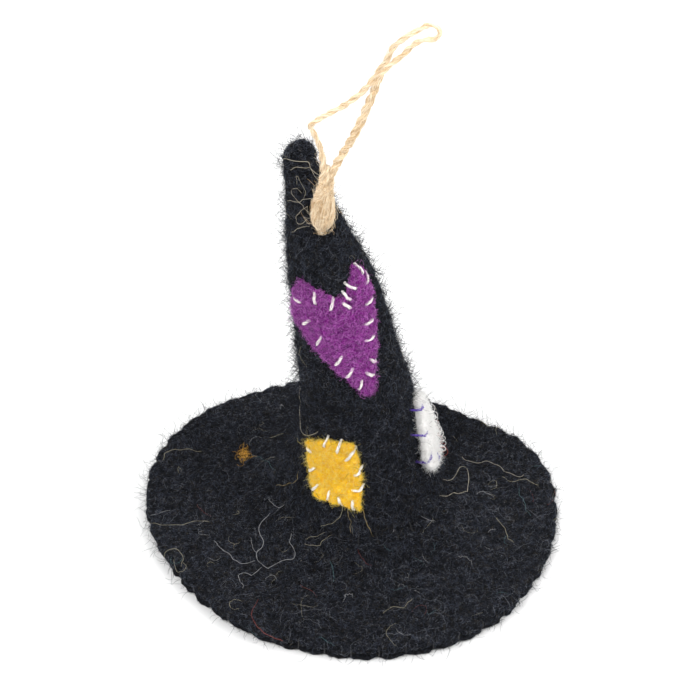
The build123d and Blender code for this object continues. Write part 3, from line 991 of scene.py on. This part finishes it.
FIBRE_COLOURS = {  # roughness, sheen and specular, and the kinds of fibre with that finish
    (0.9, 0.02, 0.05): {
        "charcoal": (0.010, 0.011, 0.015),
        "slate": (0.070, 0.081, 0.112),
        "brown": (0.075, 0.064, 0.045),
        "grey": (0.21, 0.22, 0.25),
    },
    (0.8, 0.05, 0.1): {
        "pale": (0.56, 0.56, 0.57),
        "olive": (0.48, 0.44, 0.31),
        "gold": (0.62, 0.48, 0.22),
        "orange": (0.80, 0.42, 0.06),
        "rust": (0.33, 0.07, 0.05),
        "teal": (0.13, 0.25, 0.27),
        "flax": (0.76, 0.69, 0.54),
    },
    (0.75, 0.25, 0.15): {
        "purple": (0.34, 0.018, 0.34),
        "plum": (0.11, 0.003, 0.12),
        "orchid": (0.70, 0.19, 0.72),
        "yellow": (1.0, 0.70, 0.03),
        "amber": (0.84, 0.47, 0.012),
        "straw": (1.0, 0.86, 0.28),
        "cream": (0.97, 0.965, 0.95),
    },
}
FIBRES = {
    kind: fibre("fibre_" + kind, colour, *finish)
    for finish, colours in FIBRE_COLOURS.items()
    for kind, colour in colours.items()
}
LYING = (  # surface, kind, count, shortest and longest, bend, height off the felt, thickness
    ("crown", "charcoal", 9000, (1.2, 3.6), 0.5, 0.25, 0.085),
    ("crown", "slate", 12000, (1.0, 3.0), 0.55, 0.3, 0.055),
    ("crown", "brown", 3600, (1.0, 3.2), 0.55, 0.3, 0.05),
    ("crown", "grey", 4000, (0.7, 2.6), 0.6, 0.35, 0.045),
    ("brim_top", "charcoal", 11000, (1.2, 3.6), 0.5, 0.25, 0.085),
    ("brim_top", "slate", 13000, (1.0, 3.0), 0.55, 0.3, 0.055),
    ("brim_top", "brown", 3600, (1.0, 3.2), 0.55, 0.3, 0.05),
    ("brim_top", "grey", 4500, (0.7, 2.6), 0.6, 0.35, 0.045),
    ("brim_underside", "charcoal", 6000, (1.2, 3.6), 0.5, 0.14, 0.085),
    ("brim_underside", "slate", 6000, (1.0, 3.0), 0.55, 0.14, 0.055),
    ("brim_underside", "brown", 1800, (1.0, 3.0), 0.55, 0.14, 0.05),
)
LOOSE = (  # surface, kind, count, shortest and longest, bend, rise for its length, thickness
    ("crown", "charcoal", 8000, (1.2, 3.6), 0.5, 0.8, 0.065),
    ("crown", "charcoal", 6000, (2.5, 7.0), 0.4, 0.9, 0.075),
    ("crown", "slate", 3500, (1.5, 5.0), 0.45, 0.8, 0.055),
    ("brim_top", "charcoal", 8500, (1.0, 3.0), 0.5, 0.7, 0.065),
    ("brim_top", "charcoal", 6000, (2.0, 6.5), 0.4, 0.9, 0.075),
    ("brim_top", "slate", 3000, (1.0, 3.6), 0.3, 0.7, 0.06),
    ("brim_underside", "charcoal", 3000, (1.0, 3.0), 0.3, 0.45, 0.06),
)
PATCH_FUZZ = (  # patch, kind, whether only on its cut edge, count, lengths, bend, rise, thickness
    ("heart_patch", "purple", False, 3000, (0.8, 2.4), 0.5, 0.4, 0.06),
    ("heart_patch", "plum", False, 3200, (0.8, 2.4), 0.5, 0.25, 0.06),
    ("heart_patch", "orchid", False, 2200, (0.8, 3.0), 0.6, 0.5, 0.045),
    ("heart_patch", "orchid", True, 500, (0.8, 2.2), 0.4, 0.6, 0.04),
    ("heart_patch", "purple", True, 900, (0.6, 1.8), 0.4, 0.6, 0.05),
    ("square_patch", "yellow", False, 1600, (0.8, 2.2), 0.5, 0.4, 0.06),
    ("square_patch", "amber", False, 1000, (0.8, 2.2), 0.5, 0.2, 0.055),
    ("square_patch", "straw", False, 900, (0.8, 2.4), 0.5, 0.45, 0.04),
    ("square_patch", "yellow", True, 700, (0.6, 1.8), 0.4, 0.6, 0.05),
    ("square_patch", "straw", True, 220, (1.2, 3.4), 0.4, 0.7, 0.04),
    ("white_patch", "cream", False, 3400, (0.8, 2.6), 0.5, 0.5, 0.055),
    ("white_patch", "cream", True, 1300, (0.8, 2.6), 0.4, 0.8, 0.04),
)
SURFACES = {"crown": crown, "brim_top": brim_top, "brim_underside": brim_underside, **PATCH_SURFACES}
SHOWN = {node: outside(SURFACES[node], node) for node in ("crown", "brim_top", "brim_underside")}
SLOTS = {**dict.fromkeys(SHOWN, "black_felt"), **{node: row[1] for node, row in PATCHES.items()}}
MOST_FIBRES = 6000  # in one piece


def clear_of_ground(lines):
    lines[..., 2] = np.maximum(lines[..., 2], 0.05)
    return lines


def grow(name, make, place, wanted, kind, count, lengths, bend, rise, width):
    """One kind of fibre over one surface, in pieces of a moderate size."""
    surface = SURFACES[place]
    for part, first in enumerate(range(0, count, MOST_FIBRES)):
        lines = make(surface, min(MOST_FIBRES, count - first), wanted, lengths, bend, rise)
        widths = width * rng.uniform(0.7, 1.3, len(lines))
        title = f"{place}_{name}_{kind}_{int(width * 1000)}_{part}"
        fibre_piece(title, clear_of_ground(lines), widths, kind, SLOTS[place])


for place, kind, *rest in LYING:
    grow("lying", lying_fibres, place, SHOWN[place], kind, *rest)
for place, kind, *rest in LOOSE:
    grow("loose", loose_fibres, place, SHOWN[place], kind, *rest)
for place, kind, edge, *rest in PATCH_FUZZ:
    wanted = patch_faces(SURFACES[place], edge)
    make = loose_fibres if edge else lying_fibres
    grow("edge" if edge else "face", make, place, wanted, kind, *rest)

# ---- Stray hairs ----

# What hairs lie on, their kind, then each one's thickness and points: x and y on the brim, or turn and
# height on the crown.
STRAYS = (
    ("brim_top", "pale", (
        (0.12, ((-23, -6), (-26, -10), (-26, -14), (-25, -19), (-27, -22), (-26, -25), (-23, -28))),
        (0.11, ((-23, -28), (-20, -25), (-16, -24), (-16, -21), (-17, -18), (-17, -14))),
        (0.1, ((-39, -17), (-37, -20), (-34, -23), (-31, -26), (-28, -25), (-27, -25))),
        (0.1, ((-29, -16), (-28, -19), (-27, -21))),
        (0.1, ((-25, -27), (-27, -30), (-31, -30), (-30, -35))),
        (0.11, ((-24, 0), (-23, -2), (-21, -4), (-19, -2), (-18, 0), (-20, 3))),
        (0.12, ((16, -2), (19, -3), (20, -6), (21, -8), (24, -9))),
        (0.1, ((17, 4), (17, 0), (20, -3), (23, -1))),
        (0.1, ((11, -8), (12, -11), (12, -14))),
    )),
    ("brim_top", "teal", (
        (0.1, ((-30, 19), (-27, 17), (-24, 14), (-22, 10), (-21, 6))),
        (0.1, ((-6, -25), (-5, -29), (-5, -33))),
        (0.09, ((50, 5), (50, 1), (51, -3), (52, -7))),
    )),
    ("brim_top", "olive", (
        (0.1, ((-58, -10), (-55, -11), (-51, -11), (-48, -11), (-45, -9), (-41, -10))),
        (0.1, ((-53, -23), (-52, -21), (-50, -20), (-48, -22), (-47, -24), (-48, -27))),
        (0.08, ((-50, -24), (-49, -27), (-47, -29), (-46, -27), (-48, -25))),
        (0.1, ((-13, -18), (-10, -19), (-7, -16), (-5, -14))),
        (0.1, ((-13, -16), (-9, -15), (-6, -12))),
        (0.09, ((9, -44), (11, -42), (14, -42), (17, -39))),
        (0.11, ((-57, 16), (-56, 20), (-52, 21), (-46, 20))),
        (0.1, ((-25, 26), (-19, 28), (-13, 24), (-12, 20))),
        (0.09, ((42, -8), (44, -12), (45, -16), (46, -18))),
        (0.1, ((45, 9), (48, 7), (52, 8), (56, 5))),
    )),
    ("brim_top", "flax", (
        (0.12, ((23, 14), (25, 11), (27, 8), (30, 8), (32, 12), (34, 14), (35, 9), (34, 3))),
        (0.11, ((34, 3), (30, 2), (27, 1), (24, 2))),
        (0.11, ((33, 18), (37, 15), (41, 16), (44, 14), (47, 11), (50, 9), (52, 10))),
    )),
    ("brim_top", "rust", (
        (0.11, ((-25, -39), (-27, -43), (-26, -47), (-24, -50), (-21, -52), (-19, -54))),
    )),
    ("crown", "gold", (
        (0.1, ((-9, 16), (-7, 13), (-5, 10))),
        (0.1, ((1, 16), (5, 13), (7, 10), (10, 8))),
    )),
    ("crown", "olive", (
        (0.1, ((-12, 16), (-15, 13), (-20, 11), (-26, 10))),
    )),
    ("crown", "gold", (
        (0.09, ((-73, 11), (-64, 14), (-60, 16), (-60, 19))),
    )),
    ("crown", "flax", (
        (0.11, ((-73, 47), (-80, 41), (-80, 36), (-70, 31), (-55, 33), (-41, 37))),
        (0.1, ((-60, 118), (-30, 119), (0, 119), (26, 118), (42, 114), (60, 112))),
        (0.09, ((-50, 117), (-10, 118), (30, 117), (60, 113), (70, 111))),
        (0.08, ((50, 119), (75, 118), (85, 116), (80, 113), (88, 110))),
        (0.09, ((-58, 107), (-30, 108), (-7, 109), (13, 109))),
        (0.1, ((0, 107), (-30, 105), (-36, 103), (-23, 102), (-9, 104))),
    )),
    ("crown", "olive", (
        (0.09, ((-7, 109), (-5, 112), (-10, 115), (-22, 115), (-22, 113))),
    )),
    ("crown", "flax", (
        (0.08, ((1, 105), (-14, 107), (-34, 109), (-42, 111), (-26, 112), (-11, 111))),
        (0.08, ((-48, 99), (-24, 101), (-4, 102))),
        (0.09, ((45, 101), (70, 102), (88, 104), (95, 101))),
    )),
)
STRAY_STEPS = 72
STRAY_WAVES = (6.0, 0.3), (2.6, 0.12)  # length of each wave along a hair, and how far it goes aside
STRAY_TAPER = 0.2
RANDOM_STRAYS = (  # surface, kind, count, lengths, bend, height, thickness
    ("crown", "grey", 70, (4, 12), 0.05, 0.8, 0.055),
    ("crown", "olive", 16, (3, 9), 0.05, 0.6, 0.055),
    ("brim_top", "grey", 110, (3, 12), 0.06, 0.7, 0.055),
    ("brim_top", "pale", 30, (2, 7), 0.05, 0.6, 0.055),
    ("brim_top", "olive", 34, (3, 10), 0.05, 0.6, 0.055),
    ("brim_top", "teal", 14, (2, 7), 0.05, 0.6, 0.055),
    ("brim_top", "rust", 7, (3, 8), 0.05, 0.6, 0.055),
    ("brim_underside", "olive", 18, (3, 10), 0.05, 0.3, 0.055),
    ("brim_underside", "pale", 12, (3, 8), 0.05, 0.3, 0.055),
)
SEEN_FROM = (-0.3, -310.9, 312.7)  # stray hairs are placed along lines from here, through the points given
STRAY_PLANE = 4.3  # height of the points given for hairs on the brim
TUFT_PLACE = (-32.5, 19.0)
WHITE_AXIS_X = 2.3  # the crown's axis behind the white patch


def on_crown(turn, height):
    """A point of the crown's outer side, turned so many degrees from the front towards +X."""
    turn = math.radians(turn)
    radius = np.interp(height, *CROWN_RADIUS)
    axis = np.interp(height, *CROWN_LEAN)
    return (axis + radius * math.sin(turn), CROWN_Y - radius * math.cos(turn), height)


def on_brim(x, y):
    """Where a line from the viewer through a point of the stray plane meets the brim."""
    start = Vector(SEEN_FROM)
    hit = brim_top.tree.ray_cast(start, Vector((x, y, STRAY_PLANE)) - start)[0]
    return tuple(hit) if hit else (x, y, STRAY_PLANE)


def stray(place, points):
    """One wavy hair through the points given, resting on the felt here and arched off it there."""
    line = even_curve([on_crown(*point) if place == "crown" else on_brim(*point) for point in points], 0.2)
    line = line[np.linspace(0, len(line) - 1, STRAY_STEPS).round().astype(int)]
    share = np.linspace(0, 1, STRAY_STEPS)[:, None]
    length = np.linalg.norm(np.diff(line, axis=0), axis=1).sum()
    for wave, reach in STRAY_WAVES:
        turns = length / wave * rng.uniform(0.8, 1.2, 3) * 2 * math.pi
        line = line + reach * np.sin(share * turns + any_angle(3)) * rng.uniform(0.3, 1.0, 3)
    height = 0.35 + 0.5 * np.abs(np.sin(share[:, 0] * rng.uniform(2, 5) * math.pi + rng.random() * 3))
    return relaxed(laid(line[None], SURFACES[place].tree, height), 12)[0]


def make_strays():
    kinds = {}
    for place, kind, hairs in STRAYS:
        kinds.setdefault(kind, []).extend((width, stray(place, points)) for width, points in hairs)
    for kind, rows in kinds.items():
        widths = np.array([width for width, _ in rows])
        lines = clear_of_ground(np.array([line for _, line in rows]))
        fibre_piece(f"stray_{kind}", lines, widths, kind, "black_felt", STRAY_TAPER)
    for place, kind, count, lengths, bend, height, width in RANDOM_STRAYS:
        surface = SURFACES[place]
        lines = lying_fibres(surface, count, SHOWN[place], lengths, bend, height, 24)
        widths = width * rng.uniform(0.8, 1.3, count)
        title = f"{place}_stray_{kind}"
        fibre_piece(title, clear_of_ground(lines), widths, kind, "black_felt", STRAY_TAPER)


def white_curls(count, low, high):
    """Looped ends of wool that stand out from the white patch's rear edge."""
    steps = 30
    height = rng.uniform(low, high, count)
    turn = rng.uniform(84, 104, count)
    radius = np.interp(height, *WHITE_REACH) - 0.4
    out = np.stack([np.sin(np.radians(turn)), -np.cos(np.radians(turn)), np.zeros(count)], 1)
    root = np.stack([WHITE_AXIS_X + radius * out[:, 0], CROWN_Y + radius * out[:, 1], height], 1)
    size = rng.uniform(0.6, 1.6, (count, 1)) * np.linspace(1, 0.75, steps)
    angle = np.linspace(0, 1, steps) * rng.uniform(4, 9, (count, 1))
    angle = math.pi + angle * rng.choice((-1, 1), (count, 1))
    drift = np.linspace(0, 1, steps) * rng.uniform(-1.0, 1.2, (count, 1))
    reach = size * (1 + np.cos(angle))
    rise = size * np.sin(angle) + drift
    side = np.linspace(0, 1, steps) * rng.uniform(-1.2, 1.2, (count, 1))
    across = np.stack([-out[:, 1], out[:, 0], np.zeros(count)], 1)
    line = root[:, None] + reach[..., None] * out[:, None] + side[..., None] * across[:, None]
    line[..., 2] += rise
    return line


def orange_tuft(count):
    """A tangle of dyed wool caught in the brim."""
    at = np.array(on_brim(*TUFT_PLACE)) + rng.normal(0, 1, (count, 3)) * (0.9, 1.2, 0.1)
    up = np.tile((0.0, 0.0, 1.0), (count, 1))
    lines = curls(at, up, rng.uniform(2, 9, count), 0.15, 24)
    heights = rng.uniform(0.1, 1.4, (count, 1)) * np.abs(np.sin(np.linspace(0, 4, 24)))
    return laid(lines, brim_top.tree, heights)


make_strays()
fibre_piece("orange_tuft", orange_tuft(30), 0.085, "orange", "black_felt", STRAY_TAPER)
fibre_piece("white_patch_curls", white_curls(50, 19, 38), 0.15, "cream", "white_felt", STRAY_TAPER)
fibre_piece("white_patch_red_curls", white_curls(7, 18, 25), 0.14, "rust", "white_felt", STRAY_TAPER)

# ---- Stage ----

FLOOR_SIZE = 3000.0  # from the middle to each side, in mm
LAMPS = (  # name, place and size in metres, power in watts
    ("key", (-0.35, -0.35, 0.7), 0.5, 5),
    ("fill", (0.5, -0.2, 0.5), 0.5, 3.2),
    ("back", (0.1, 0.6, 0.5), 0.6, 3),
)
LAMP_AIM = (0, 0, 0.05)
CAMERA_LENS = 76.1
CAMERA_DOWN = 39.0  # degrees under level that the camera looks
CAMERA_AIM = (-0.0003, 0, 0.061)
CAMERA_AWAY = 0.4
WORLD_LIGHT = 0.6
BACKDROP = 0.98  # how pale the camera sees the world behind the floor


def make_stage():
    """A pale floor that stays as pale to the camera where the lamps no longer reach it."""
    corners = FLOOR_SIZE * np.array([(-1, -1, 0), (1, -1, 0), (1, 1, 0), (-1, 1, 0)])
    n = Nodes("floor")
    grain = n.noise(40.0, 2.0)
    material = n.finish(n.mix(grain, (0.80, 0.80, 0.80), (0.82, 0.82, 0.82)), 0.9, 0.0, 0.1)
    distance = n.add("ShaderNodeVectorMath", operation="LENGTH")
    n.feed(distance.inputs[0], n.place)
    far = n.band(distance.outputs["Value"], 0.25, 1.4, 0.0, 0.5)
    seen = n.add("ShaderNodeLightPath").outputs["Is Camera Ray"]
    n.feed(n.shader.inputs["Emission Color"], (1, 1, 1, 1))
    n.feed(n.shader.inputs["Emission Strength"], n.math("MULTIPLY", far, seen))
    make_object("floor", corners, np.array([[0, 1, 2, 3]]), material)


def make_lamp(name, place, size, power):
    light = bpy.data.lights.new(name, "AREA")
    light.shape = "DISK"
    light.size = size
    light.energy = power
    lamp = bpy.data.objects.new(name, light)
    lamp.location = place
    lamp.rotation_euler = (Vector(LAMP_AIM) - Vector(place)).to_track_quat("-Z", "Y").to_euler()
    bpy.context.scene.collection.objects.link(lamp)


def make_world():
    """Even white light all round, and a backdrop as pale as the floor where the camera looks past it."""
    world = bpy.data.worlds.new("world")
    world.use_nodes = True
    nodes, links = world.node_tree.nodes, world.node_tree.links
    path = nodes.new("ShaderNodeLightPath")
    choice = nodes.new("ShaderNodeMapRange")
    choice.inputs["To Min"].default_value = WORLD_LIGHT
    choice.inputs["To Max"].default_value = BACKDROP
    links.new(path.outputs["Is Camera Ray"], choice.inputs["Value"])
    links.new(choice.outputs["Result"], nodes["Background"].inputs["Strength"])
    nodes["Background"].inputs["Color"].default_value = (1, 1, 1, 1)
    bpy.context.scene.world = world


def make_camera():
    camera = bpy.data.objects.new("camera", bpy.data.cameras.new("camera"))
    camera.data.lens = CAMERA_LENS
    down = math.radians(CAMERA_DOWN)
    camera.location = Vector(CAMERA_AIM) + CAMERA_AWAY * Vector((0, -math.cos(down), math.sin(down)))
    camera.rotation_euler = (math.pi / 2 - down, 0, 0)
    camera.data.clip_start = 0.01
    bpy.context.scene.collection.objects.link(camera)
    bpy.context.scene.camera = camera


make_stage()
for lamp in LAMPS:
    make_lamp(*lamp)
make_camera()
make_world()
bpy.context.scene.view_settings.view_transform = "Standard"
